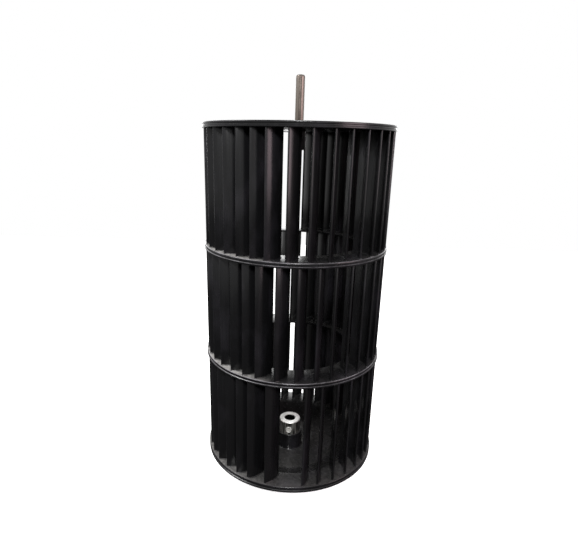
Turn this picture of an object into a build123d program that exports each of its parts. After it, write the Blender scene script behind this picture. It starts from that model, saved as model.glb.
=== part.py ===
from build123d import *
import os
from math import cos, radians, sin

# A cross-flow fan wheel that stands on its motor end: three sections of curved blades between rings,
# a disc with a steel stub shaft on top and a dished disc with a bored steel hub below. Millimetres,
# +Z up, origin in the middle of the flat that the wheel stands on, -Y on the left-out blade's side.

# Rings and their rims
RIM_RADIUS = 65.0
RIM_HEIGHT = 3.6
RIM_WALL = 1.6
RIM_GROOVE_HEIGHT = 1.4
RIM_GROOVE_DEPTH = 0.45
RIM_EDGE = 0.3
RING_LEDGE = 6.5
RING_PLATE = 1.2
SECTION_PITCH = 80.0
SECTION_NAMES = ("lower_section", "middle_section", "upper_section")

# Blades. The steps from each to the next, in degrees, are uneven so that the wheel has no single hum.
BLADE_STEPS = (
    12.0, 12.1, 11.7, 10.0, 10.8, 10.6, 10.5, 9.6, 9.3, 10.1, 10.6, 9.2,
    8.9, 9.8, 10.3, 9.9, 9.4, 10.3, 12.9, 11.2, 9.7, 10.3, 10.9, 11.3,
    10.0, 9.5, 10.2, 11.0, 10.6, 9.9, 9.8, 9.7, 9.9, 9.3, 8.7,
)
FIRST_BLADE_ANGLE = -27.2
SECTION_TURN = 5.0

# In the lower section one blade is left out, to reach the grub screw, and two stand a little further on
LEFT_OUT_BLADES = (2,)
BLADE_SHIFTS = {18: 1.8, 21: 0.7}

# Outline of a blade
BLADE_SETBACK = 1.25
BLADE_DEPTH = 12.25
BLADE_SWEEP = 6.9
BLADE_CAMBER = 1.55
BLADE_THICKNESS = 1.3
BLADE_EDGE = 0.4

# Motor-end disc with its dish and boss
DISC_WALL = 2.5
DISC_RIM_HEIGHT = 4.4
DISH_DEPTH = 9.5
DISH_LEDGE = 1.9
DISH_FLOOR_RADIUS = 33.3
BOSS_HEIGHT = 13.2
BOSS_WALL = 1.4
BOSS_EDGE = 0.5

# Steel insert in the boss, with the motor shaft's bore and the grub screw across it
INSERT_RADIUS = 8.4
INSERT_STAND_OUT = 10.4
INSERT_EDGE = 0.5
INSERT_GROOVE_DEPTH = 0.8
INSERT_GROOVE_HEIGHT = 3.0
BORE_RADIUS = 4.0
BORE_EDGE = 0.5
SCREW_RADIUS = 2.5
SCREW_LENGTH = 4.0
SCREW_EDGE = 0.4
SCREW_CLEARANCE = 0.05
SCREW_BACKSET = 0.3
SCREW_ANGLE = -5.0
SCREW_BELOW_TOP = 6.2
SOCKET_FLATS = 2.5
SOCKET_DEPTH = 2.0

# Free-end disc with its boss and the steel stub shaft
CAP_LEDGE = 1.5
CAP_GAP = 0.15
CAP_WALL = 2.2
CAP_STEP_WIDTH = 4.0
CAP_COLLAR_RADIUS = 8.0
CAP_COLLAR_HEIGHT = 2.0
CAP_BOSS_WALL = 1.45
CAP_BOSS_DEPTH = 13.0
CAP_BOSS_ROUND = 1.6
SHAFT_RADIUS = 3.0
SHAFT_ROOT_RADIUS = 3.3
SHAFT_STAND_OUT = 31.0
SHAFT_SOCKET_DEPTH = 11.0
SHAFT_EDGE = 0.8
SHAFT_GROOVE_DEPTH = 0.6
SHAFT_GROOVE_HEIGHT = 2.0

# Heights and radii that follow. Ring holes, dish and free-end disc keep their distance from the blades.
BLADE_TIP_RADIUS = RIM_RADIUS - BLADE_SETBACK
BLADE_ROOT_RADIUS = BLADE_TIP_RADIUS - BLADE_DEPTH
RING_HOLE_RADIUS = BLADE_ROOT_RADIUS - RING_LEDGE
DISH_TOP_RADIUS = BLADE_ROOT_RADIUS - DISH_LEDGE
CAP_RADIUS = BLADE_ROOT_RADIUS - CAP_LEDGE
DISC_TOP = DISC_WALL + DISH_DEPTH
RING_TOPS = [DISC_TOP + SECTION_PITCH * (number + 1) for number in range(len(SECTION_NAMES))]
TOP_FACE = RING_TOPS[-1]
BOSS_TOP = DISC_WALL + BOSS_HEIGHT
BOSS_RADIUS = INSERT_RADIUS + BOSS_WALL
INSERT_TOP = BOSS_TOP + INSERT_STAND_OUT
INSERT_GROOVE_MIDDLE = BOSS_TOP / 2
SCREW_HEIGHT = INSERT_TOP - SCREW_BELOW_TOP
CAP_TOP = TOP_FACE - RING_PLATE
CAP_UNDERSIDE = CAP_TOP - CAP_WALL
CAP_COLLAR_TOP = CAP_TOP + CAP_COLLAR_HEIGHT
CAP_BOSS_RADIUS = SHAFT_ROOT_RADIUS + CAP_BOSS_WALL
SHAFT_FOOT = CAP_UNDERSIDE - SHAFT_SOCKET_DEPTH
SHAFT_TIP = TOP_FACE + SHAFT_STAND_OUT
SHAFT_GROOVE_MIDDLE = (SHAFT_FOOT + CAP_UNDERSIDE) / 2

os.makedirs("parts", exist_ok=True)


def polar(radius, angle):
    """Point at an angle from the left-out blade's side, -Y, towards +X."""
    return (radius * sin(radians(angle)), -radius * cos(radians(angle)))


def outer_corners(profile, radius):
    """Corners of a half section that lie at a radius."""
    return profile.vertices().filter_by_position(Axis.X, radius - 0.01, radius + 0.01)


def rim_groove(middle):
    """Shallow groove round a rim, which leaves a lip above it and one below."""
    Polygon(
        (RIM_RADIUS, middle + RIM_GROOVE_HEIGHT / 2),
        (RIM_RADIUS - RIM_GROOVE_DEPTH, middle + RIM_GROOVE_HEIGHT / 4),
        (RIM_RADIUS - RIM_GROOVE_DEPTH, middle - RIM_GROOVE_HEIGHT / 4),
        (RIM_RADIUS, middle - RIM_GROOVE_HEIGHT / 2),
        align=None,
        mode=Mode.SUBTRACT,
    )


def blade_angles(number):
    """Angles of the outer tips of one section's blades."""
    share = 360.0 / sum(BLADE_STEPS)
    start = FIRST_BLADE_ANGLE + SECTION_TURN * number
    tips = {blade: start + share * sum(BLADE_STEPS[:blade]) for blade in range(len(BLADE_STEPS))}
    if number == 0:
        for blade, shift in BLADE_SHIFTS.items():
            tips[blade] += shift
        for blade in LEFT_OUT_BLADES:
            del tips[blade]
    return list(tips.values())


# Outline of one blade, a strip along an arc with its corners taken off
with BuildLine() as blade_line:
    SagittaArc(polar(BLADE_TIP_RADIUS, 0), polar(BLADE_ROOT_RADIUS, BLADE_SWEEP), -BLADE_CAMBER)
with BuildSketch() as blade_outline:
    trace(blade_line.edge(), line_width=BLADE_THICKNESS)
    chamfer(blade_outline.vertices(), BLADE_EDGE)

# Bladed sections, each a ring with its blades hanging from it in one moulding
for number, name in enumerate(SECTION_NAMES):
    ring_top = RING_TOPS[number]
    with BuildPart() as section:
        with BuildSketch(Plane.XZ) as ring_profile:
            with Locations((RING_HOLE_RADIUS, ring_top)):
                Rectangle(RIM_RADIUS - RING_HOLE_RADIUS, RING_PLATE, align=(Align.MIN, Align.MAX))
            with Locations((RIM_RADIUS, ring_top)):
                Rectangle(RIM_WALL, RIM_HEIGHT, align=(Align.MAX, Align.MAX))
            chamfer(outer_corners(ring_profile, RIM_RADIUS), RIM_EDGE)
            rim_groove(ring_top - RIM_HEIGHT / 2)
        revolve(axis=Axis.Z)
        with BuildSketch(Plane.XY.offset(ring_top - SECTION_PITCH)):
            with Locations(*[Location((0, 0, 0), (0, 0, angle)) for angle in blade_angles(number)]):
                add(blade_outline.sketch)
        extrude(amount=SECTION_PITCH - RING_PLATE / 2)
    section.part.label = name
    export_step(section.part, f"parts/{name}.step")

# Outside of the steel insert, with a groove that the boss fills
with BuildSketch(Plane.XZ) as insert_outline:
    Rectangle(INSERT_RADIUS, INSERT_TOP, align=(Align.MIN, Align.MIN))
    chamfer(outer_corners(insert_outline, INSERT_RADIUS), INSERT_EDGE)
    with Locations((INSERT_RADIUS, INSERT_GROOVE_MIDDLE)):
        Rectangle(
            INSERT_GROOVE_DEPTH,
            INSERT_GROOVE_HEIGHT,
            align=(Align.MAX, Align.CENTER),
            mode=Mode.SUBTRACT,
        )

# Grub screw's axis, pointing out of the insert, with its origin at the screw's tip
screw_plane = Plane(
    origin=(*polar(BORE_RADIUS + SCREW_BACKSET, SCREW_ANGLE), SCREW_HEIGHT),
    x_dir=(0, 0, 1),
    z_dir=(*polar(1, SCREW_ANGLE), 0),
)

# Steel insert, turned and bored, with a tapped hole across one wall
with BuildPart() as hub_insert:
    add(insert_outline.sketch)
    revolve(axis=Axis.Z)
    with BuildSketch():
        Circle(BORE_RADIUS)
    extrude(amount=INSERT_TOP, mode=Mode.SUBTRACT)
    circles = hub_insert.edges().filter_by(GeomType.CIRCLE)
    chamfer(circles.filter_by(lambda circle: abs(circle.radius - BORE_RADIUS) < 0.01), BORE_EDGE)
    with BuildSketch(screw_plane.offset(-BORE_RADIUS)):
        Circle(SCREW_RADIUS)
    extrude(amount=BORE_RADIUS + INSERT_RADIUS, mode=Mode.SUBTRACT)
hub_insert.part.label = "hub_insert"
export_step(hub_insert.part, "parts/hub_insert.step")

# Grub screw with a hexagon socket, standing a little back from the bore
with BuildPart() as grub_screw:
    with BuildSketch(screw_plane):
        Circle(SCREW_RADIUS - SCREW_CLEARANCE)
    extrude(amount=SCREW_LENGTH)
    chamfer(grub_screw.edges().filter_by(GeomType.CIRCLE), SCREW_EDGE)
    with BuildSketch(screw_plane.offset(SCREW_LENGTH)):
        RegularPolygon(SOCKET_FLATS / 2, 6, major_radius=False)
    extrude(amount=-SOCKET_DEPTH, mode=Mode.SUBTRACT)
grub_screw.part.label = "grub_screw"
export_step(grub_screw.part, "parts/grub_screw.step")

# Motor-end disc: blade seat, dish, floor and boss in one moulding round the insert
with BuildPart() as motor_end_disc:
    with BuildSketch(Plane.XZ) as disc_profile:
        Polygon(
            (0, 0),
            (DISH_FLOOR_RADIUS, 0),
            (DISH_TOP_RADIUS, DISH_DEPTH),
            (RIM_RADIUS - RIM_WALL, DISH_DEPTH),
            (RIM_RADIUS - RIM_WALL, DISC_TOP - DISC_RIM_HEIGHT),
            (RIM_RADIUS, DISC_TOP - DISC_RIM_HEIGHT),
            (RIM_RADIUS, DISC_TOP),
            (DISH_TOP_RADIUS, DISC_TOP),
            (DISH_FLOOR_RADIUS, DISC_WALL),
            (BOSS_RADIUS, DISC_WALL),
            (BOSS_RADIUS, BOSS_TOP),
            (0, BOSS_TOP),
            align=None,
        )
        chamfer(outer_corners(disc_profile, RIM_RADIUS), RIM_EDGE)
        chamfer(outer_corners(disc_profile, BOSS_RADIUS).sort_by(Axis.Y)[-1], BOSS_EDGE)
        rim_groove(DISC_TOP - DISC_RIM_HEIGHT / 2)
    revolve(axis=Axis.Z)
    add(insert_outline.sketch)
    revolve(axis=Axis.Z, mode=Mode.SUBTRACT)
motor_end_disc.part.label = "motor_end_disc"
export_step(motor_end_disc.part, "parts/motor_end_disc.step")

# Steel stub shaft, turned, with a thicker root and a groove in it that the free-end boss fills
with BuildSketch(Plane.XZ) as shaft_outline:
    with Locations((0, SHAFT_FOOT)):
        Rectangle(SHAFT_ROOT_RADIUS, CAP_COLLAR_TOP - SHAFT_FOOT, align=(Align.MIN, Align.MIN))
        Rectangle(SHAFT_RADIUS, SHAFT_TIP - SHAFT_FOOT, align=(Align.MIN, Align.MIN))
    chamfer(outer_corners(shaft_outline, SHAFT_RADIUS).sort_by(Axis.Y)[-1], SHAFT_EDGE)
    with Locations((SHAFT_ROOT_RADIUS, SHAFT_GROOVE_MIDDLE)):
        Rectangle(
            SHAFT_GROOVE_DEPTH,
            SHAFT_GROOVE_HEIGHT,
            align=(Align.MAX, Align.CENTER),
            mode=Mode.SUBTRACT,
        )
with BuildPart() as stub_shaft:
    add(shaft_outline.sketch)
    revolve(axis=Axis.Z)
stub_shaft.part.label = "stub_shaft"
export_step(stub_shaft.part, "parts/stub_shaft.step")

# Free-end disc: a flange under the top ring, a step that fills the ring's hole and a long slim boss
with BuildPart() as free_end_disc:
    with BuildSketch(Plane.XZ) as cap_profile:
        step_radius = RING_HOLE_RADIUS - CAP_GAP
        Polygon(
            (0, CAP_UNDERSIDE - CAP_BOSS_DEPTH),
            (CAP_BOSS_RADIUS, CAP_UNDERSIDE - CAP_BOSS_DEPTH),
            (CAP_BOSS_RADIUS, CAP_UNDERSIDE),
            (CAP_RADIUS, CAP_UNDERSIDE),
            (CAP_RADIUS, CAP_TOP),
            (step_radius, CAP_TOP),
            (step_radius, TOP_FACE),
            (step_radius - CAP_STEP_WIDTH, TOP_FACE),
            (step_radius - CAP_STEP_WIDTH - RING_PLATE, CAP_TOP),
            (CAP_COLLAR_RADIUS + CAP_COLLAR_HEIGHT, CAP_TOP),
            (CAP_COLLAR_RADIUS, CAP_COLLAR_TOP),
            (0, CAP_COLLAR_TOP),
            align=None,
        )
        fillet(outer_corners(cap_profile, CAP_BOSS_RADIUS).sort_by(Axis.Y)[0], CAP_BOSS_ROUND)
    revolve(axis=Axis.Z)
    add(shaft_outline.sketch)
    revolve(axis=Axis.Z, mode=Mode.SUBTRACT)
free_end_disc.part.label = "free_end_disc"
export_step(free_end_disc.part, "parts/free_end_disc.step")
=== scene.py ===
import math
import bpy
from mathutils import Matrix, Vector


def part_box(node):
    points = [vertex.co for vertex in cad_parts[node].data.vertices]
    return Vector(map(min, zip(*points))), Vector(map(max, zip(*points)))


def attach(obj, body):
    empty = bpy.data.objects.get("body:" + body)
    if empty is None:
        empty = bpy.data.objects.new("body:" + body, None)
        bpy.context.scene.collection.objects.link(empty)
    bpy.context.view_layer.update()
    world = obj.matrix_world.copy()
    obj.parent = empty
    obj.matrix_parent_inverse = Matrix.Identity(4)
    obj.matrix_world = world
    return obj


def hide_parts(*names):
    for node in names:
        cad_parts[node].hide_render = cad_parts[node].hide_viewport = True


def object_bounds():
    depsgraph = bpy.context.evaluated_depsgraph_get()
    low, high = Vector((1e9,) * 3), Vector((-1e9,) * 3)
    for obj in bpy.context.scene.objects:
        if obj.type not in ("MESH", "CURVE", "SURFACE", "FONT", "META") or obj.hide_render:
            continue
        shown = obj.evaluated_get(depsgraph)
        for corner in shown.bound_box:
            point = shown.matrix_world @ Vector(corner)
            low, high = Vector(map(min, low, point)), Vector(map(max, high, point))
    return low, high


bl_info = {
    "name": "Cross-flow fan wheel",
    "version": (1, 0, 0),
    "blender": (4, 5, 0),
    "location": "View3D > Sidebar > Fan wheel",
    "description": "Models and finishes a black cross-flow blower wheel round its packed frame",
    "category": "Object",
}

import bmesh
import bpy
from bpy.props import FloatProperty, FloatVectorProperty, PointerProperty
from mathutils import Matrix, Vector

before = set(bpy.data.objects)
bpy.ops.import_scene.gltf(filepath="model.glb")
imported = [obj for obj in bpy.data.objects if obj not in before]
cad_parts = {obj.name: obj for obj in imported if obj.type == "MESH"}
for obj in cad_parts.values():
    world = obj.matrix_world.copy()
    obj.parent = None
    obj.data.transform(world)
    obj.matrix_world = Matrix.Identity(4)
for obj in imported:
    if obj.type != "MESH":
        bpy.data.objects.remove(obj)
CAD_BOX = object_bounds()

MM = 0.001
BODY = "root"
PICTURE_WIDTH = 578
PICTURE_HEIGHT = 545
SENSOR_WIDTH = 36.0
NEAR_CLIP = 10.0 * MM
UP = Vector((0.0, 0.0, 1.0))
WHITE = (1.0, 1.0, 1.0, 1.0)

# Where the frame puts things
SECTIONS = ("lower_section", "middle_section", "upper_section")
RIM_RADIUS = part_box("upper_section")[1].x
TOP_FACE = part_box("upper_section")[1].z
DISC_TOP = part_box("lower_section")[0].z
BOSS_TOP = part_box("motor_end_disc")[1].z
INSERT_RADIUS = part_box("hub_insert")[1].x
INSERT_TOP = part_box("hub_insert")[1].z
CAP_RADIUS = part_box("free_end_disc")[1].x
CAP_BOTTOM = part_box("free_end_disc")[0].z
COLLAR_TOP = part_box("free_end_disc")[1].z
SHAFT_ROOT_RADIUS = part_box("stub_shaft")[1].x
SHAFT_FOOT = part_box("stub_shaft")[0].z
SHAFT_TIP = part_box("stub_shaft")[1].z

# How the meshes are made
HAIR = 0.01 * MM
OVERCUT = 1.0 * MM
TURNING_STEPS = 180
BLADE_STEPS = 10
CORNER_STEPS = 3
BAR_SIDES = 64
HEXAGON = 6
SMOOTH_BELOW = math.radians(35.0)
LONG_EDGE_ABOVE = math.radians(60.0)

# How a blade's outer corner is found in a section's mesh
TIP_ZONE = 1.0 * MM
LEAST_BLADE_GAP = math.radians(4.0)

# Where dust, wear and painted light lie on the mouldings, by height, by distance from the axis and from
# left to right; the fades from left to right are painted light, paler at the left as light from the left
# would make it
ABOVE_DISC = DISC_TOP + 8.0 * MM
UNDER_TOP_RING = TOP_FACE - 9.0 * MM
HEIGHT_FADE = 1.0 * MM
SEAT_INSIDE = RIM_RADIUS - 16.0 * MM
SEAT_FADE = 4.0 * MM
OUTER_BAND = RIM_RADIUS - 7.0 * MM
OUTER_FADE = 4.5 * MM
LIP_INSIDE = RIM_RADIUS - 0.7 * MM
LIP_FADE = 0.2 * MM
DISC_PAINTED_LIGHT_LEFT = -45.0 * MM
DISC_PAINTED_LIGHT_RIGHT = -10.0 * MM
RING_PAINTED_LIGHT_LEFT = -36.0 * MM
RING_PAINTED_LIGHT_RIGHT = -12.0 * MM
LIP_PAINTED_LIGHT_LEFT = -30.0 * MM

# The dark stripe painted as a reflection on the side of the shaft that the camera sees, and the painted
# shade in the bore
STRIPE_LEFT = -1.4 * MM
STRIPE_RIGHT = 0.5 * MM
STRIPE_FADE = 1.0 * MM
SHADE_REACH = 0.1 * MM
SHADE_FADE = 0.2 * MM

# Sizes of the surfaces' patterns, the finest of them a little coarser than life so that they show
FLOW_STREAK = 2.5 * MM
SMEAR = 18.0 * MM
FIBRE_SPECK = 0.7 * MM
SPECK_DEPTH = 0.03 * MM
DUST_CLUMP = 3.0 * MM
WORN_PATCH = 9.0 * MM
DRAWN_LINE = 0.8 * MM
REFLECTION_PATCH = 4.0 * MM
TOOL_MARK = 1.6 * MM
SCREW_GRAIN = 0.5 * MM

# Soft lamps: name, place, width and height in metres, power in watts, and colour
LAMPS = (
    ("front_window", (0.0, -0.78, 0.76), 0.2, 0.2, 17.0, "#ffffff"),
    ("side_window", (0.78, -0.42, 0.38), 0.45, 0.56, 6.0, "#ffe2e9"),
    ("left_window", (-0.85, -0.1, 0.95), 0.4, 0.4, 13.0, "#ffffff"),
    ("ceiling", (0.0, -0.15, 1.1), 0.4, 0.4, 4.0, "#ffffff"),
    ("backlight", (0.0, 1.2, 0.42), 1.6, 0.5, 6.3, "#ffffff"),
)


def linear(hex_colour):
    """Linear red, green and blue of an sRGB hex colour, and full opacity."""
    channels = [int(hex_colour[n:n + 2], 16) / 255 for n in (1, 3, 5)]
    return (*(c / 12.92 if c <= 0.04045 else ((c + 0.055) / 1.055) ** 2.4 for c in channels), 1.0)


def length(name, description, default):
    """A property in metres with its default in millimetres."""
    return FloatProperty(
        name=name, description=description, default=default * MM, unit="LENGTH", precision=5
    )


def angle(name, description, default):
    """A property in radians."""
    return FloatProperty(name=name, description=description, default=default, subtype="ANGLE")


def pixels(name, description, default):
    """A property in pixels of the picture."""
    return FloatProperty(name=name, description=description, default=default, subtype="PIXEL")


def tint(name, description, default):
    """A colour property with its default as an sRGB hex colour."""
    return FloatVectorProperty(
        name=name,
        description=description,
        default=linear(default),
        size=4,
        min=0.0,
        max=1.0,
        subtype="COLOR",
    )


class FanRingSettings(bpy.types.PropertyGroup):
    plate: length("Plate", "Thickness of a ring's plate", 1.2)
    ledge: length("Ledge", "Width of the plate inside the blades", 6.5)
    rim_height: length("Rim height", "Height of a ring's rim", 3.6)
    disc_rim_height: length("Disc rim height", "Height of the motor-end disc's rim", 4.4)
    rim_wall: length("Rim wall", "Thickness of a rim", 1.6)
    groove_height: length("Groove height", "Height of the groove round a rim", 1.4)
    groove_depth: length("Groove depth", "Depth of the groove round a rim", 0.45)
    lip_rounding: length("Lip rounding", "Rounding of a rim's outer edges", 0.45)
    edge_rounding: length("Edge rounding", "Rounding of the other edges", 0.2)


class FanBladeSettings(bpy.types.PropertyGroup):
    setback: length("Setback", "From a rim's outside to the blades' outer ends", 1.25)
    depth: length("Depth", "From the outer ends of the blades to the inner ones", 12.25)
    sweep: angle("Sweep", "Angle about the axis from the outer end to the inner one", math.radians(6.9))
    camber: length("Camber", "Rise of a blade's arc over its chord", 1.55)
    thickness: length("Thickness", "Thickness of a blade", 1.3)
    nose: length("Nose", "Rounding of a blade's long edges", 0.5)
    bead: length("Bead", "Width of the weld bead and the fillet at a blade's ends", 0.4)
    sink: length("Sink", "How deep a blade's foot sits in the ring below", 0.2)


class FanDiscSettings(bpy.types.PropertyGroup):
    wall: length("Wall", "Thickness of the motor-end disc", 2.5)
    dish_ledge: length("Dish ledge", "From the blades' inner ends to the dish", 1.9)
    dish_floor: length("Dish floor", "Radius of the dish's flat floor", 33.3)
    boss_wall: length("Boss wall", "Thickness of the plastic round the insert", 1.4)
    bend: length("Bend", "Rounding where the dish turns", 1.6)
    foot: length("Foot", "Fillet at the foot of the boss", 1.2)
    cap_wall: length("Cap wall", "Thickness of the free-end disc", 2.2)
    cap_gap: length("Cap gap", "Gap between the free-end disc and the ring's hole", 0.15)
    cap_step: length("Cap step", "Width of the raised step that fills the ring's hole", 4.0)
    collar: length("Collar", "Radius of the collar round the shaft, at its top", 8.0)
    collar_height: length("Collar height", "Height of that collar", 2.0)
    cap_boss_wall: length("Cap boss wall", "Thickness of the plastic round the shaft's root", 1.45)
    cap_boss_end: length("Cap boss end", "Rounding of that boss's lower end", 1.6)


class FanSteelSettings(bpy.types.PropertyGroup):
    bore: length("Bore", "Radius of the motor shaft's bore", 4.0)
    bore_edge: length("Bore edge", "Chamfer of that bore", 0.5)
    insert_edge: length("Insert edge", "Chamfer of the insert's outside", 0.5)
    screw: length("Screw", "Radius of the grub screw's thread", 2.5)
    screw_clearance: length("Screw clearance", "Gap between the grub screw and its hole", 0.05)
    screw_length: length("Screw length", "Length of the grub screw", 4.0)
    screw_edge: length("Screw edge", "Chamfer of the grub screw's ends", 0.4)
    socket_flats: length("Socket", "Width across flats of its hexagon socket", 2.5)
    socket_depth: length("Socket depth", "Depth of that socket", 2.0)
    shaft: length("Shaft", "Radius of the stub shaft", 3.0)
    shaft_end: length("Shaft end", "Rounding of the stub shaft's end", 1.3)


class FanFinishSettings(bpy.types.PropertyGroup):
    plastic: tint("Plastic", "Colour of the moulding", "#0a0a0b")
    smear: tint("Smear", "Colour of the moulding where it is smeared", "#19181b")
    # Dust colour, also laid on heavier at the left as painted light
    dust_and_painted_light: tint("Dust", "Colour of the dust", "#858381")
    # Partly wear, partly a painted highlight: the grey of the rings' upper lips
    rubbed_and_highlight: tint("Rubbed", "Colour of the rings' rubbed lips", "#78767a")
    steel: tint("Steel", "Colour of the stub shaft", "#726a63")
    drawn_line: tint("Drawn line", "Colour of the fine lines along the stub shaft", "#56504b")
    # Painted reflection: the dark stripe down the front of the stub shaft
    painted_reflection: tint("Tarnish", "Colour of the tarnished stripe down the stub shaft", "#241f1d")
    zinc: tint("Zinc", "Colour of the insert's faced end", "#f6f5f2")
    # Painted reflection: the light and dark streaks down the insert's side
    painted_streak_light: tint("Side light", "Colour of the light streaks down the insert's side", "#a3a19c")
    painted_streak_dark: tint("Side dark", "Colour of the dark streaks down the insert's side", "#3b3a38")
    # Painted shade: the near-black of the insert's bore
    painted_bore_shade: tint("Oil", "Colour of the insert's oiled bore", "#060605")
    screw: tint("Screw", "Colour of the grub screw", "#a9a8a4")


class FanStageSettings(bpy.types.PropertyGroup):
    camera_distance: length("Camera distance", "From the wheel's axis to the lens", 331.5)
    camera_drop: length("Camera drop", "How far the lens is below the top ring", 12.0)
    pan: angle("Pan", "Turn of the view to the right", -0.033)
    pitch: angle("Pitch", "Tilt of the view downwards", 0.297)
    roll: angle("Roll", "Turn of the picture about the view", 0.022)
    focal_pixels: pixels("Focal length", "In pixels of the picture", 464.5)
    centre_x: pixels("Centre column", "Pixel column that the lens points at", 279.4)
    centre_y: pixels("Centre row", "Pixel row that the lens points at", 285.1)
    floor_size: length("Floor size", "Width of the square floor", 1600.0)
    floor: tint("Floor", "Colour of the floor as the camera sees it", "#e6e6e6")
    floor_bounce: tint("Floor bounce", "Colour of the floor for the light that it sends back", "#303030")
    floor_glow: FloatProperty(
        name="Floor glow", description="Brightening of the floor that only the camera sees", default=0.7
    )
    room_light: FloatProperty(
        name="Room light", description="Strength of the even light from all round", default=0.25
    )


def select_points(piece, test):
    """Selects the vertices of a piece in edit mode that pass a test."""
    mesh = bmesh.from_edit_mesh(piece.data)
    bpy.ops.mesh.select_all(action="DESELECT")
    for point in mesh.verts:
        if test(point.co):
            point.select_set(True)
    mesh.select_flush_mode()
    bmesh.update_edit_mesh(piece.data)


def close_up():
    """Merges the doubles of a mesh in edit mode and turns its faces outwards."""
    bpy.ops.mesh.select_all(action="SELECT")
    bpy.ops.mesh.remove_doubles(threshold=HAIR)
    bpy.ops.mesh.normals_make_consistent(inside=False)


def turned(name, profile, closed=True):
    """A piece turned about the axis from half a section: points with radius, height and rounding."""
    points = [Vector((radius, 0.0, height)) for radius, height, rounding in profile]
    bpy.ops.object.select_all(action="DESELECT")
    bpy.ops.mesh.primitive_plane_add(size=MM, location=points[0])
    piece = bpy.context.object
    piece.name = name
    bpy.ops.object.transform_apply()
    bpy.ops.object.mode_set(mode="EDIT")
    bpy.ops.mesh.merge(type="CENTER")
    path = points + points[:1] if closed else points
    for here, there in zip(path, path[1:]):
        bpy.ops.mesh.extrude_region_move(TRANSFORM_OT_translate={"value": there - here})
    bpy.ops.mesh.select_all(action="SELECT")
    bpy.ops.mesh.remove_doubles(threshold=HAIR)
    for corner, (radius, height, rounding) in zip(points, profile):
        if rounding:
            select_points(piece, lambda at: (at - corner).length < HAIR)
            bpy.ops.mesh.bevel(offset=rounding, segments=CORNER_STEPS, affect="VERTICES")
    bpy.ops.mesh.select_all(action="SELECT")
    bpy.ops.mesh.spin(steps=TURNING_STEPS, angle=math.tau, center=(0.0, 0.0, 0.0), axis=UP)
    close_up()
    bpy.ops.object.mode_set(mode="OBJECT")
    return piece


def rim_corners(ring, top, height):
    """Outer corners of a rim with its groove, from the lower edge to the upper one."""
    middle = top - height / 2
    lip = ring.groove_height / 2
    floor = RIM_RADIUS - ring.groove_depth
    return [
        (RIM_RADIUS, top - height, ring.lip_rounding),
        (RIM_RADIUS, middle - lip, 0.0),
        (floor, middle - lip / 2, 0.0),
        (floor, middle + lip / 2, 0.0),
        (RIM_RADIUS, middle + lip, 0.0),
        (RIM_RADIUS, top, ring.lip_rounding),
    ]


def model_ring(name, top):
    """The ring at the top of a section: a flat plate with a grooved rim."""
    ring = bpy.context.scene.fan_ring
    blade = bpy.context.scene.fan_blade
    hole = RIM_RADIUS - blade.setback - blade.depth - ring.ledge
    inside = RIM_RADIUS - ring.rim_wall
    return turned(
        name,
        [
            (hole, top - ring.plate, ring.edge_rounding),
            (inside, top - ring.plate, ring.edge_rounding),
            (inside, top - ring.rim_height, ring.edge_rounding),
            *rim_corners(ring, top, ring.rim_height),
            (hole, top, ring.edge_rounding),
        ],
    )


def blade_arc(blade):
    """Centre and radius of the arc along a blade, its outer end at angle 0, and how far it turns."""
    outer = Vector((RIM_RADIUS - blade.setback, 0.0))
    inner = Matrix.Rotation(blade.sweep, 2) @ Vector((outer.x - blade.depth, 0.0))
    chord = inner - outer
    radius = (chord.length ** 2 / 4 + blade.camber ** 2) / (2 * blade.camber)
    side = Vector((chord.y, -chord.x)).normalized()
    centre = (outer + inner) / 2 - side * (radius - blade.camber)
    return centre, radius, 2 * math.asin(chord.length / 2 / radius)


def blade_strip(name, foot, head, thickness, rounding):
    """An upright strip along a blade's arc, with its long edges rounded."""
    blade = bpy.context.scene.fan_blade
    centre, radius, turn = blade_arc(blade)
    outer = Vector((RIM_RADIUS - blade.setback, 0.0))
    across = (outer - centre).normalized()
    bpy.ops.object.select_all(action="DESELECT")
    bpy.ops.mesh.primitive_plane_add(
        size=1.0,
        location=(outer.x, outer.y, (foot + head) / 2),
        rotation=(math.pi / 2, 0.0, math.atan2(across.y, across.x)),
    )
    strip = bpy.context.object
    strip.name = name
    strip.scale = (thickness, head - foot, 1.0)
    bpy.ops.object.transform_apply()
    bpy.ops.object.mode_set(mode="EDIT")
    bpy.ops.mesh.spin(steps=BLADE_STEPS, angle=-turn, center=(centre.x, centre.y, 0.0), axis=UP)
    bpy.ops.mesh.select_all(action="SELECT")
    bpy.ops.mesh.fill_holes(sides=0)
    close_up()
    bpy.ops.object.mode_set(mode="OBJECT")
    bevel = strip.modifiers.new("long_edges", "BEVEL")
    bevel.width = rounding
    bevel.segments = CORNER_STEPS
    bevel.limit_method = "ANGLE"
    bevel.angle_limit = LONG_EDGE_ABOVE
    bpy.ops.object.modifier_apply(modifier=bevel.name)
    return strip


def joined(pieces):
    """Joins pieces into the first."""
    bpy.ops.object.select_all(action="DESELECT")
    for piece in pieces:
        piece.select_set(True)
    bpy.context.view_layer.objects.active = pieces[0]
    bpy.ops.object.join()
    return pieces[0]


def model_blade(foot, head):
    """One blade with the weld bead at its foot and the fillet at its head."""
    blade = bpy.context.scene.fan_blade
    wide = blade.thickness + 2 * blade.bead
    return joined(
        [
            blade_strip("blade", foot - blade.sink, head, blade.thickness, blade.nose),
            blade_strip("weld_bead", foot - blade.sink, foot + blade.bead, wide, blade.bead),
            blade_strip("fillet", head - blade.sink - blade.bead, head, wide, blade.bead),
        ]
    )


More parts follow.
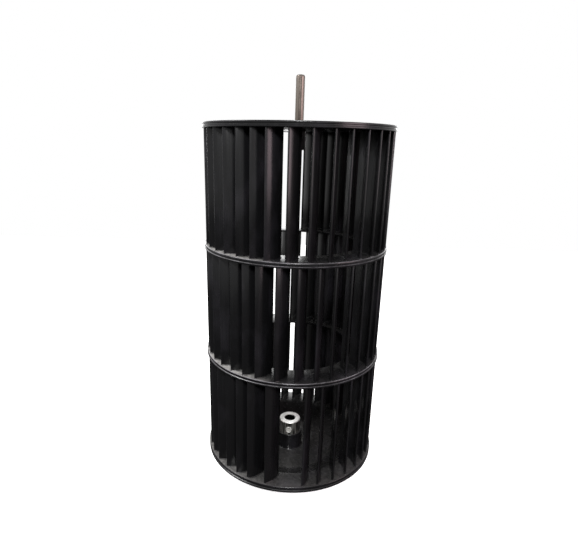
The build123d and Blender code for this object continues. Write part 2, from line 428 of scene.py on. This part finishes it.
def blade_corners(mesh, foot):
    """Angle of the outermost corner of each blade in a mesh, at its foot."""
    reach = RIM_RADIUS - bpy.context.scene.fan_blade.setback - TIP_ZONE
    points = [v.co for v in mesh.vertices if abs(v.co.z - foot) < HAIR and v.co.xy.length > reach]
    tips = []
    for turn, radius in sorted((math.atan2(p.y, p.x), p.xy.length) for p in points):
        if tips and turn - tips[-1][0] < LEAST_BLADE_GAP:
            tips[-1] = max(tips[-1], (turn, radius), key=lambda tip: tip[1])
        else:
            tips.append((turn, radius))
    if len(tips) > 1 and tips[0][0] + math.tau - tips[-1][0] < LEAST_BLADE_GAP:
        tips.remove(min(tips[0], tips[-1], key=lambda tip: tip[1]))
    return [turn for turn, radius in tips]


def finish(piece, material, node):
    """Smooths a piece, gives it its material and sets it in the frame in place of its node."""
    bpy.ops.object.select_all(action="DESELECT")
    piece.select_set(True)
    bpy.context.view_layer.objects.active = piece
    bpy.ops.object.shade_smooth_by_angle(angle=SMOOTH_BELOW)
    piece.data.materials.clear()
    piece.data.materials.append(material)
    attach(piece, BODY)
    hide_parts(node)


class FANWHEEL_OT_sections(bpy.types.Operator):
    """Model the three sections, each a ring with its blades hanging from it"""

    bl_idname = "fanwheel.sections"
    bl_label = "Bladed sections"

    def execute(self, context):
        ring = context.scene.fan_ring
        settings = context.scene.fan_blade
        plastic = moulded_plastic()
        for node in SECTIONS:
            low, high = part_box(node)
            section = model_ring(f"{node}_moulding", high.z)
            blade = model_blade(low.z, high.z - ring.plate + settings.sink)
            own = blade_corners(blade.data, low.z - settings.sink)[0]
            blades = []
            for turn in blade_corners(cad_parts[node].data, low.z):
                copy = blade.copy()
                copy.data = blade.data.copy()
                copy.rotation_euler.z = turn - own
                context.collection.objects.link(copy)
                blades.append(copy)
            bpy.data.objects.remove(blade)
            finish(joined([section, *blades]), plastic, node)
        return {"FINISHED"}


class FANWHEEL_OT_motor_end(bpy.types.Operator):
    """Model the dished disc at the motor's end, with its boss"""

    bl_idname = "fanwheel.motor_end"
    bl_label = "Motor-end disc"

    def execute(self, context):
        disc = context.scene.fan_disc
        ring = context.scene.fan_ring
        blade = context.scene.fan_blade
        dish = RIM_RADIUS - blade.setback - blade.depth - disc.dish_ledge
        inside = RIM_RADIUS - ring.rim_wall
        boss = INSERT_RADIUS + disc.boss_wall
        piece = turned(
            "motor_end_moulding",
            [
                (INSERT_RADIUS, 0.0, 0.0),
                (disc.dish_floor, 0.0, disc.bend),
                (dish, DISC_TOP - disc.wall, disc.bend),
                (inside, DISC_TOP - disc.wall, ring.edge_rounding),
                (inside, DISC_TOP - ring.disc_rim_height, ring.edge_rounding),
                *rim_corners(ring, DISC_TOP, ring.disc_rim_height),
                (dish, DISC_TOP, disc.bend),
                (disc.dish_floor, disc.wall, disc.bend),
                (boss, disc.wall, disc.foot),
                (boss, BOSS_TOP, ring.lip_rounding),
                (INSERT_RADIUS, BOSS_TOP, 0.0),
            ],
        )
        finish(piece, moulded_plastic(), "motor_end_disc")
        return {"FINISHED"}


class FANWHEEL_OT_free_end(bpy.types.Operator):
    """Model the disc at the free end, with its step, collar and boss"""

    bl_idname = "fanwheel.free_end"
    bl_label = "Free-end disc"

    def execute(self, context):
        disc = context.scene.fan_disc
        ring = context.scene.fan_ring
        blade = context.scene.fan_blade
        top = TOP_FACE - ring.plate
        step = RIM_RADIUS - blade.setback - blade.depth - ring.ledge - disc.cap_gap
        boss = SHAFT_ROOT_RADIUS + disc.cap_boss_wall
        piece = turned(
            "free_end_moulding",
            [
                (0.0, CAP_BOTTOM, 0.0),
                (boss, CAP_BOTTOM, disc.cap_boss_end),
                (boss, top - disc.cap_wall, disc.foot),
                (CAP_RADIUS, top - disc.cap_wall, ring.edge_rounding),
                (CAP_RADIUS, top, ring.edge_rounding),
                (step, top, 0.0),
                (step, TOP_FACE, ring.edge_rounding),
                (step - disc.cap_step, TOP_FACE, ring.edge_rounding),
                (step - disc.cap_step - ring.plate, top, ring.edge_rounding),
                (disc.collar + disc.collar_height, top, ring.lip_rounding),
                (disc.collar, COLLAR_TOP, ring.edge_rounding),
                (SHAFT_ROOT_RADIUS, COLLAR_TOP, 0.0),
                (SHAFT_ROOT_RADIUS, SHAFT_FOOT, 0.0),
                (0.0, SHAFT_FOOT, 0.0),
            ],
            closed=False,
        )
        finish(piece, moulded_plastic(), "free_end_disc")
        return {"FINISHED"}


class FANWHEEL_OT_shaft(bpy.types.Operator):
    """Model the steel stub shaft"""

    bl_idname = "fanwheel.shaft"
    bl_label = "Stub shaft"

    def execute(self, context):
        steel = context.scene.fan_steel
        piece = turned(
            "stub_shaft_bar",
            [
                (0.0, SHAFT_FOOT, 0.0),
                (SHAFT_ROOT_RADIUS, SHAFT_FOOT, 0.0),
                (SHAFT_ROOT_RADIUS, COLLAR_TOP, 0.0),
                (steel.shaft, COLLAR_TOP, 0.0),
                (steel.shaft, SHAFT_TIP, steel.shaft_end),
                (0.0, SHAFT_TIP, 0.0),
            ],
            closed=False,
        )
        finish(piece, drawn_steel(), "stub_shaft")
        return {"FINISHED"}


def screw_axis():
    """Middle of the grub screw's outer face, and the direction that the face looks in."""
    low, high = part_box("grub_screw")
    outward = Vector(((low.x + high.x) / 2, (low.y + high.y) / 2, 0.0)).normalized()
    height = Vector((0.0, 0.0, (low.z + high.z) / 2))
    face = max(v.co.dot(outward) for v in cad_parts["grub_screw"].data.vertices)
    return height + outward * face, outward


def cut(piece, tool):
    """Takes a tool's shape out of a piece."""
    bpy.ops.object.select_all(action="DESELECT")
    piece.select_set(True)
    bpy.context.view_layer.objects.active = piece
    cutter = piece.modifiers.new("cut", "BOOLEAN")
    cutter.operation = "DIFFERENCE"
    cutter.solver = "EXACT"
    cutter.object = tool
    bpy.ops.object.modifier_apply(modifier=cutter.name)
    bpy.data.objects.remove(tool)


def bar(name, sides, radius, start, end):
    """A straight bar from one point to another, as a tool or a blank."""
    bpy.ops.object.select_all(action="DESELECT")
    bpy.ops.mesh.primitive_cylinder_add(
        vertices=sides,
        radius=radius,
        depth=(end - start).length,
        location=(start + end) / 2,
        rotation=(end - start).to_track_quat("Z", "Y").to_euler(),
    )
    bpy.context.object.name = name
    bpy.ops.object.transform_apply()
    return bpy.context.object


def model_insert(steel, face, outward):
    """The turned insert, with the screw's hole from the axis out through one wall."""
    insert = turned(
        "hub_insert_turning",
        [
            (steel.bore + steel.bore_edge, 0.0, 0.0),
            (INSERT_RADIUS, 0.0, 0.0),
            (INSERT_RADIUS, INSERT_TOP - steel.insert_edge, 0.0),
            (INSERT_RADIUS - steel.insert_edge, INSERT_TOP, 0.0),
            (steel.bore + steel.bore_edge, INSERT_TOP, 0.0),
            (steel.bore, INSERT_TOP - steel.bore_edge, 0.0),
            (steel.bore, steel.bore_edge, 0.0),
        ],
    )
    middle = face - outward * face.xy.length
    cut(insert, bar("tapped_hole", BAR_SIDES, steel.screw, middle, middle + outward * 2 * INSERT_RADIUS))
    return insert


def model_screw(steel, face, outward):
    """The grub screw, with chamfered ends and a hexagon socket in its face."""
    radius = steel.screw - steel.screw_clearance
    screw = bar("grub_screw_turning", BAR_SIDES, radius, face - outward * steel.screw_length, face)
    bevel = screw.modifiers.new("ends", "BEVEL")
    bevel.width = steel.screw_edge
    bevel.limit_method = "ANGLE"
    bpy.ops.object.modifier_apply(modifier=bevel.name)
    corner = steel.socket_flats / math.sqrt(3.0)
    floor = face - outward * steel.socket_depth
    cut(screw, bar("socket", HEXAGON, corner, floor, face + outward * OVERCUT))
    return screw


class FANWHEEL_OT_hub(bpy.types.Operator):
    """Model the steel insert in the boss and its grub screw"""

    bl_idname = "fanwheel.hub"
    bl_label = "Hub insert and grub screw"

    def execute(self, context):
        steel = context.scene.fan_steel
        face, outward = screw_axis()
        insert = model_insert(steel, face, outward)
        finish(insert, plated_steel(), "hub_insert")
        screw = model_screw(steel, face, outward)
        finish(screw, plated_screw(), "grub_screw")
        return {"FINISHED"}


def add_node(tree, kind, inputs=(), **settings):
    """Adds a node with its settings, sets its inputs or links them, and gives its outputs."""
    node = tree.nodes.new(kind)
    for name, value in settings.items():
        setattr(node, name, value)
    for socket, value in dict(inputs).items():
        if isinstance(value, bpy.types.NodeSocket):
            tree.links.new(value, node.inputs[socket])
        else:
            node.inputs[socket].default_value = value
    return node.outputs


def new_material(name):
    """An empty material and its node tree."""
    material = bpy.data.materials.new(name)
    material.use_nodes = True
    material.node_tree.nodes.clear()
    return material, material.node_tree


def axis_distance(tree, place):
    """Distance from the wheel's axis, in metres."""
    flat = add_node(
        tree, "ShaderNodeVectorMath", {0: place, 1: (1.0, 1.0, 0.0)}, operation="MULTIPLY"
    )[0]
    return add_node(tree, "ShaderNodeVectorMath", {0: flat}, operation="LENGTH")["Value"]


def patches(tree, place, size, along_axis=1.0, detail=2.0):
    """Noise from about 0 to 1 in spots of a size, drawn out up the axis where along_axis is under 1."""
    drawn = add_node(
        tree, "ShaderNodeVectorMath", {0: place, 1: (1.0, 1.0, along_axis)}, operation="MULTIPLY"
    )[0]
    noise = {"Vector": drawn, "Scale": 1.0 / size, "Detail": detail}
    return add_node(tree, "ShaderNodeTexNoise", noise)["Fac"]


def settled_dust_and_left_light(tree, place, sides, distance, facing):
    """Share of dust on what faces up, mostly on the rings and on the disc's seat, painted heavier at the
    left as painted light from that side.
    """
    above_disc = add_node(
        tree,
        "ShaderNodeMapRange",
        {"Value": sides["Z"], "From Min": ABOVE_DISC, "From Max": ABOVE_DISC + HEIGHT_FADE},
    )[0]
    under_top = add_node(
        tree,
        "ShaderNodeMapRange",
        {
            "Value": sides["Z"],
            "From Min": UNDER_TOP_RING,
            "From Max": UNDER_TOP_RING + HEIGHT_FADE,
            "To Min": 1.0,
            "To Max": 0.0,
        },
    )[0]
    outside = add_node(
        tree,
        "ShaderNodeMapRange",
        {"Value": distance, "From Min": SEAT_INSIDE, "From Max": SEAT_INSIDE + SEAT_FADE},
    )[0]
    seat = add_node(tree, "ShaderNodeMath", {0: outside, 1: under_top}, operation="MULTIPLY")[0]
    # Painted light: more dust at the left and less to the right, on the disc and on the rings, stands for
    # light falling from the left
    disc_dust_and_light = add_node(
        tree,
        "ShaderNodeMapRange",
        {
            "Value": sides["X"],
            "From Min": DISC_PAINTED_LIGHT_LEFT,
            "From Max": DISC_PAINTED_LIGHT_RIGHT,
            "To Min": 0.4,
            "To Max": 0.1,
        },
    )[0]
    painted_left_light = add_node(
        tree,
        "ShaderNodeMapRange",
        {
            "Value": sides["X"],
            "From Min": RING_PAINTED_LIGHT_LEFT,
            "From Max": RING_PAINTED_LIGHT_RIGHT,
            "To Min": 0.9,
            "To Max": 0.03,
        },
    )[0]
    outwards = add_node(
        tree,
        "ShaderNodeMapRange",
        {"Value": distance, "From Min": OUTER_BAND, "From Max": OUTER_BAND + OUTER_FADE, "To Min": 0.45},
    )[0]
    ring_dust_and_light = add_node(tree, "ShaderNodeMath", {0: painted_left_light, 1: outwards}, operation="MULTIPLY")[0]
    on_seat = add_node(tree, "ShaderNodeMix", {0: above_disc, 2: disc_dust_and_light, 3: ring_dust_and_light})[0]
    amount = add_node(tree, "ShaderNodeMix", {0: seat, 2: 0.08, 3: on_seat})[0]
    level = add_node(
        tree, "ShaderNodeMapRange", {"Value": facing, "From Min": 0.75, "From Max": 0.98}
    )[0]
    clumps = add_node(
        tree,
        "ShaderNodeMapRange",
        {
            "Value": patches(tree, place, DUST_CLUMP, detail=5.0),
            "From Min": 0.3,
            "From Max": 0.65,
            "To Min": 0.4,
        },
    )[0]
    lying = add_node(tree, "ShaderNodeMath", {0: level, 1: amount}, operation="MULTIPLY")[0]
    dust_and_painted_light = add_node(tree, "ShaderNodeMath", {0: lying, 1: clumps}, operation="MULTIPLY")[0]
    return dust_and_painted_light, above_disc, under_top


def rubbed_lips_and_highlight(tree, place, sides, distance, facing, rings):
    """Share of grey on the two middle rings' upper lips, partly wear and partly a painted highlight, patchy
    and painted paler at the left.
    """
    outermost = add_node(
        tree,
        "ShaderNodeMapRange",
        {"Value": distance, "From Min": LIP_INSIDE, "From Max": LIP_INSIDE + LIP_FADE},
    )[0]
    upward = add_node(
        tree, "ShaderNodeMapRange", {"Value": facing, "From Min": 0.2, "From Max": 0.5}
    )[0]
    flat = add_node(
        tree, "ShaderNodeMapRange", {"Value": facing, "From Min": 0.8, "From Max": 0.9, "To Min": 0.4}
    )[0]
    worn = add_node(
        tree,
        "ShaderNodeMapRange",
        {
            "Value": patches(tree, place, WORN_PATCH, detail=4.0),
            "From Min": 0.4,
            "From Max": 0.62,
            "To Min": 0.2,
        },
    )[0]
    # Painted light: the lips are painted paler towards the left
    painted_left_lip_light = add_node(
        tree,
        "ShaderNodeMapRange",
        {"Value": sides["X"], "From Min": LIP_PAINTED_LIGHT_LEFT, "From Max": 0.0, "To Min": 1.0, "To Max": 0.6},
    )[0]
    share = outermost
    for limit in (upward, flat, rings, worn, painted_left_lip_light):
        share = add_node(tree, "ShaderNodeMath", {0: share, 1: limit}, operation="MULTIPLY")[0]
    return share


def moulded_plastic():
    """Black glass-filled styrene, injection moulded."""
    # The short glass fibres break the skin up, so that it has a soft, weak sheen and not a polish. The
    # melt's flow leaves long faint streaks up each blade, and hands have left paler smears. Grey dust lies
    # on whatever faces up, painted heavier at the left as painted light from that side, and the upper lips
    # of the two rings between the sections are painted grey, partly wear and partly a painted highlight.
    name = "glass_filled_black_moulding"
    if name in bpy.data.materials:
        return bpy.data.materials[name]
    colours = bpy.context.scene.fan_finish
    material, tree = new_material(name)
    coordinates = add_node(tree, "ShaderNodeTexCoord")
    place = coordinates["Object"]
    sides = add_node(tree, "ShaderNodeSeparateXYZ", {0: place})
    facing = add_node(tree, "ShaderNodeSeparateXYZ", {0: coordinates["Normal"]})["Z"]
    distance = axis_distance(tree, place)
    dust_and_painted_light, above_disc, under_top = settled_dust_and_left_light(tree, place, sides, distance, facing)
    rings = add_node(tree, "ShaderNodeMath", {0: above_disc, 1: under_top}, operation="MULTIPLY")[0]
    rubbed_and_highlight = rubbed_lips_and_highlight(tree, place, sides, distance, facing, rings)
    smeared = add_node(
        tree,
        "ShaderNodeMapRange",
        {"Value": patches(tree, place, SMEAR, 0.5, 4.0), "From Min": 0.5, "From Max": 0.75},
    )[0]
    black = add_node(
        tree, "ShaderNodeMix", {0: smeared, 6: colours.plastic, 7: colours.smear}, data_type="RGBA"
    )[2]
    dusty_and_painted_light = add_node(tree, "ShaderNodeMix", {0: dust_and_painted_light, 6: black, 7: colours.dust_and_painted_light}, data_type="RGBA")[2]
    colour = add_node(tree, "ShaderNodeMix", {0: rubbed_and_highlight, 6: dusty_and_painted_light, 7: colours.rubbed_and_highlight}, data_type="RGBA")[2]
    sheen = add_node(
        tree,
        "ShaderNodeMapRange",
        {
            "Value": patches(tree, place, FLOW_STREAK, 0.04),
            "From Min": 0.3,
            "From Max": 0.7,
            "To Min": 0.18,
            "To Max": 0.3,
        },
    )[0]
    fibres = add_node(
        tree,
        "ShaderNodeBump",
        {"Strength": 0.25, "Distance": SPECK_DEPTH, "Height": patches(tree, place, FIBRE_SPECK)},
    )[0]
    shader = add_node(
        tree,
        "ShaderNodeBsdfPrincipled",
        {
            "Base Color": colour,
            "Roughness": sheen,
            "IOR": 1.5,
            "Specular IOR Level": 0.22,
            "Normal": fibres,
        },
    )[0]
    add_node(tree, "ShaderNodeOutputMaterial", {"Surface": shader})
    return material


def drawn_steel():
    """Bright drawn steel bar, handled, with a dark reflection painted down its front."""
    # Drawing leaves fine lines along the bar, which dull it to a warm grey. A dark brown stripe is painted
    # down its front as a reflection of something dark. It comes and goes, between a grey edge and a
    # brighter one.
    name = "bright_drawn_steel"
    if name in bpy.data.materials:
        return bpy.data.materials[name]
    colours = bpy.context.scene.fan_finish
    material, tree = new_material(name)
    place = add_node(tree, "ShaderNodeTexCoord")["Object"]
    sides = add_node(tree, "ShaderNodeSeparateXYZ", {0: place})
    lines = patches(tree, place, DRAWN_LINE, 0.02, 3.0)
    right_of_left = add_node(
        tree,
        "ShaderNodeMapRange",
        {"Value": sides["X"], "From Min": STRIPE_LEFT, "From Max": STRIPE_LEFT + STRIPE_FADE},
    )[0]
    left_of_right = add_node(
        tree,
        "ShaderNodeMapRange",
        {
            "Value": sides["X"],
            "From Min": STRIPE_RIGHT,
            "From Max": STRIPE_RIGHT + STRIPE_FADE,
            "To Min": 1.0,
            "To Max": 0.0,
        },
    )[0]
    patchy = add_node(
        tree,
        "ShaderNodeMapRange",
        {
            "Value": patches(tree, place, REFLECTION_PATCH, 0.15),
            "From Min": 0.35,
            "From Max": 0.6,
            "To Min": 0.5,
        },
    )[0]
    # Painted reflection: a dark band down the shaft's front, patchy along its length
    stripe = add_node(tree, "ShaderNodeMath", {0: right_of_left, 1: left_of_right}, operation="MULTIPLY")[0]
    painted_reflection_share = add_node(tree, "ShaderNodeMath", {0: stripe, 1: patchy}, operation="MULTIPLY")[0]
    lined = add_node(tree, "ShaderNodeMapRange", {"Value": lines, "From Min": 0.35, "From Max": 0.65})[0]
    bright = add_node(
        tree, "ShaderNodeMix", {0: lined, 6: colours.steel, 7: colours.drawn_line}, data_type="RGBA"
    )[2]
    colour = add_node(
        tree, "ShaderNodeMix", {0: painted_reflection_share, 6: bright, 7: colours.painted_reflection}, data_type="RGBA"
    )[2]
    roughness = add_node(
        tree,
        "ShaderNodeMapRange",
        {"Value": lines, "From Min": 0.3, "From Max": 0.7, "To Min": 0.32, "To Max": 0.48},
    )[0]
    shader = add_node(
        tree,
        "ShaderNodeBsdfPrincipled",
        {"Base Color": colour, "Roughness": roughness, "Metallic": 1.0},
    )[0]
    add_node(tree, "ShaderNodeOutputMaterial", {"Surface": shader})
    return material


def plated_steel():
    """Free-cutting steel, turned and zinc plated."""
    # The faced end is matt white from the tool's fine rings. The round side is brighter, and the dark
    # inside of the wheel is painted on it in streaks as a reflection; the bore is painted dark as shade.
    name = "zinc_plated_turned_steel"
    if name in bpy.data.materials:
        return bpy.data.materials[name]
    colours = bpy.context.scene.fan_finish
    bore = bpy.context.scene.fan_steel.bore
    material, tree = new_material(name)
    coordinates = add_node(tree, "ShaderNodeTexCoord")
    place = coordinates["Object"]
    facing = add_node(tree, "ShaderNodeSeparateXYZ", {0: coordinates["Normal"]})["Z"]
    marks = patches(tree, place, TOOL_MARK, 0.12, 3.0)
    painted_reflection_streaks = add_node(tree, "ShaderNodeMapRange", {"Value": marks, "From Min": 0.4, "From Max": 0.6})[0]
    faced = add_node(tree, "ShaderNodeMapRange", {"Value": facing, "From Min": 0.6, "From Max": 0.9})[0]
    # Painted shade: the bore is painted near black, as shade in the deep recess
    painted_dark = add_node(
        tree,
        "ShaderNodeMapRange",
        {
            "Value": axis_distance(tree, place),
            "From Min": bore + SHADE_REACH,
            "From Max": bore + SHADE_REACH + SHADE_FADE,
            "To Min": 1.0,
            "To Max": 0.0,
        },
    )[0]
    # Painted reflection: dark and light streaks down the round side stand for the dark wheel that it
    # mirrors
    side = add_node(
        tree, "ShaderNodeMix", {0: painted_reflection_streaks, 6: colours.painted_streak_dark, 7: colours.painted_streak_light}, data_type="RGBA"
    )[2]
    plated = add_node(tree, "ShaderNodeMix", {0: faced, 6: side, 7: colours.zinc}, data_type="RGBA")[2]
    colour = add_node(tree, "ShaderNodeMix", {0: painted_dark, 6: plated, 7: colours.painted_bore_shade}, data_type="RGBA")[2]
    roughness = add_node(
        tree,
        "ShaderNodeMapRange",
        {"Value": marks, "From Min": 0.3, "From Max": 0.7, "To Min": 0.3, "To Max": 0.5},
    )[0]
    metallic = add_node(tree, "ShaderNodeMapRange", {"Value": faced, "To Min": 0.9, "To Max": 0.0})[0]
    shader = add_node(
        tree,
        "ShaderNodeBsdfPrincipled",
        {"Base Color": colour, "Roughness": roughness, "Metallic": metallic},
    )[0]
    add_node(tree, "ShaderNodeOutputMaterial", {"Surface": shader})
    return material


def plated_screw():
    """Zinc-plated steel grub screw, machined."""
    # The plating is thin and grained, so the screw is a satin pale grey that takes the light of the lamps
    # and little of the dark round it.
    name = "bright_zinc_screw"
    if name in bpy.data.materials:
        return bpy.data.materials[name]
    material, tree = new_material(name)
    place = add_node(tree, "ShaderNodeTexCoord")["Object"]
    roughness = add_node(
        tree,
        "ShaderNodeMapRange",
        {
            "Value": patches(tree, place, SCREW_GRAIN),
            "From Min": 0.3,
            "From Max": 0.7,
            "To Min": 0.25,
            "To Max": 0.45,
        },
    )[0]
    shader = add_node(
        tree,
        "ShaderNodeBsdfPrincipled",
        {"Base Color": bpy.context.scene.fan_finish.screw, "Metallic": 0.3, "Roughness": roughness},
    )[0]
    add_node(tree, "ShaderNodeOutputMaterial", {"Surface": shader})
    return material


def view_axes(pan, pitch, roll):
    """Right, up and forward of a camera that looks along +Y, panned right, tilted down and rolled."""
    forward = Vector(
        (math.sin(pan) * math.cos(pitch), math.cos(pan) * math.cos(pitch), -math.sin(pitch))
    )
    level = forward.cross(UP).normalized()
    upright = level.cross(forward)
    right = level * math.cos(roll) + upright * math.sin(roll)
    up = upright * math.cos(roll) - level * math.sin(roll)
    return right, up, forward


def add_camera(settings):
    """The camera that took the picture, from its place, its tilts and its lens in pixels."""
    lens = bpy.data.cameras.new("camera")
    camera = bpy.data.objects.new("camera", lens)
    bpy.context.scene.collection.objects.link(camera)
    right, up, forward = view_axes(settings.pan, settings.pitch, settings.roll)
    turn = Matrix((right, up, -forward)).transposed().to_4x4()
    place = Vector((0.0, -settings.camera_distance, TOP_FACE - settings.camera_drop))
    camera.matrix_world = Matrix.Translation(place) @ turn
    lens.sensor_width = SENSOR_WIDTH
    lens.lens = settings.focal_pixels * SENSOR_WIDTH / PICTURE_WIDTH
    lens.shift_x = (PICTURE_WIDTH / 2 - settings.centre_x) / PICTURE_WIDTH
    lens.shift_y = (settings.centre_y - PICTURE_HEIGHT / 2) / PICTURE_WIDTH
    lens.clip_start = NEAR_CLIP
    bpy.context.scene.camera = camera


def add_softbox(name, place, width, height, power, colour):
    """A soft lamp turned to the middle of the wheel."""
    lamp = bpy.data.lights.new(name, "AREA")
    lamp.shape = "RECTANGLE"
    lamp.size = width
    lamp.size_y = height
    lamp.energy = power
    lamp.color = linear(colour)[:3]
    box = bpy.data.objects.new(name, lamp)
    bpy.context.scene.collection.objects.link(box)
    box.location = place
    aim = UP * TOP_FACE / 2 - Vector(place)
    box.rotation_euler = aim.to_track_quat("-Z", "Y").to_euler()


def seen_rays(tree, *kinds):
    """1 for rays of the kinds that show the pale surroundings, such as the camera's."""
    path = add_node(tree, "ShaderNodeLightPath")
    seen = path[kinds[0]]
    for kind in kinds[1:]:
        seen = add_node(
            tree, "ShaderNodeMath", {0: seen, 1: path[kind]}, operation="ADD", use_clamp=True
        )[0]
    return seen


def add_floor(settings):
    """A pale floor. What it throws back is dark, so that the wheel's shaded sides stay black."""
    bpy.ops.object.select_all(action="DESELECT")
    bpy.ops.mesh.primitive_plane_add(size=settings.floor_size, location=(0.0, 0.0, CAD_BOX[0].z))
    floor = bpy.context.object
    floor.name = "floor"
    material, tree = new_material("pale_floor")
    seen = seen_rays(tree, "Is Camera Ray", "Is Transmission Ray")
    colour = add_node(
        tree, "ShaderNodeMix", {0: seen, 6: settings.floor_bounce, 7: settings.floor}, data_type="RGBA"
    )[2]
    glow = add_node(tree, "ShaderNodeMath", {0: seen, 1: settings.floor_glow}, operation="MULTIPLY")[0]
    shader = add_node(
        tree,
        "ShaderNodeBsdfPrincipled",
        {"Base Color": colour, "Roughness": 0.9, "Emission Color": WHITE, "Emission Strength": glow},
    )[0]
    add_node(tree, "ShaderNodeOutputMaterial", {"Surface": shader})
    floor.data.materials.append(material)


def add_room(settings):
    """Even light from all round, and white where the camera, gloss or clear surfaces look."""
    world = bpy.data.worlds.new("room")
    world.use_nodes = True
    bpy.context.scene.world = world
    tree = world.node_tree
    tree.nodes.clear()
    seen = seen_rays(tree, "Is Camera Ray", "Is Transmission Ray", "Is Glossy Ray")
    strength = add_node(
        tree, "ShaderNodeMapRange", {"Value": seen, "To Min": settings.room_light, "To Max": 1.0}
    )[0]
    sky = add_node(tree, "ShaderNodeBackground", {"Color": WHITE, "Strength": strength})[0]
    add_node(tree, "ShaderNodeOutputWorld", {"Surface": sky})


class FANWHEEL_OT_stage(bpy.types.Operator):
    """Add the floor, the soft lights and the camera"""

    bl_idname = "fanwheel.stage"
    bl_label = "Stage"

    def execute(self, context):
        settings = context.scene.fan_stage
        add_floor(settings)
        add_room(settings)
        for lamp in LAMPS:
            add_softbox(*lamp)
        add_camera(settings)
        context.scene.view_settings.view_transform = "Standard"
        return {"FINISHED"}


class FANWHEEL_PT_pieces(bpy.types.Panel):
    """Pieces, sizes and stage of the fan wheel"""

    bl_idname = "FANWHEEL_PT_pieces"
    bl_label = "Fan wheel"
    bl_space_type = "VIEW_3D"
    bl_region_type = "UI"
    bl_category = "Fan wheel"

    def draw(self, context):
        for group in SETTINGS:
            box = self.layout.box()
            for name in SETTINGS[group].__annotations__:
                box.prop(getattr(context.scene, group), name)
        for operator in OPERATORS:
            self.layout.operator(operator.bl_idname)


SETTINGS = {
    "fan_ring": FanRingSettings,
    "fan_blade": FanBladeSettings,
    "fan_disc": FanDiscSettings,
    "fan_steel": FanSteelSettings,
    "fan_finish": FanFinishSettings,
    "fan_stage": FanStageSettings,
}
OPERATORS = (
    FANWHEEL_OT_sections,
    FANWHEEL_OT_motor_end,
    FANWHEEL_OT_free_end,
    FANWHEEL_OT_shaft,
    FANWHEEL_OT_hub,
    FANWHEEL_OT_stage,
)
CLASSES = (*SETTINGS.values(), *OPERATORS, FANWHEEL_PT_pieces)


def register():
    """Registers the classes and gives every scene the settings."""
    for cls in CLASSES:
        bpy.utils.register_class(cls)
    for group, settings in SETTINGS.items():
        setattr(bpy.types.Scene, group, PointerProperty(type=settings))


def unregister():
    """Takes the settings and the classes away again."""
    for group in SETTINGS:
        delattr(bpy.types.Scene, group)
    for cls in reversed(CLASSES):
        bpy.utils.unregister_class(cls)


def main():
    """Builds the wheel and its stage."""
    register()
    bpy.ops.fanwheel.sections()
    bpy.ops.fanwheel.motor_end()
    bpy.ops.fanwheel.free_end()
    bpy.ops.fanwheel.shaft()
    bpy.ops.fanwheel.hub()
    bpy.ops.fanwheel.stage()


if __name__ == "__main__":
    main()
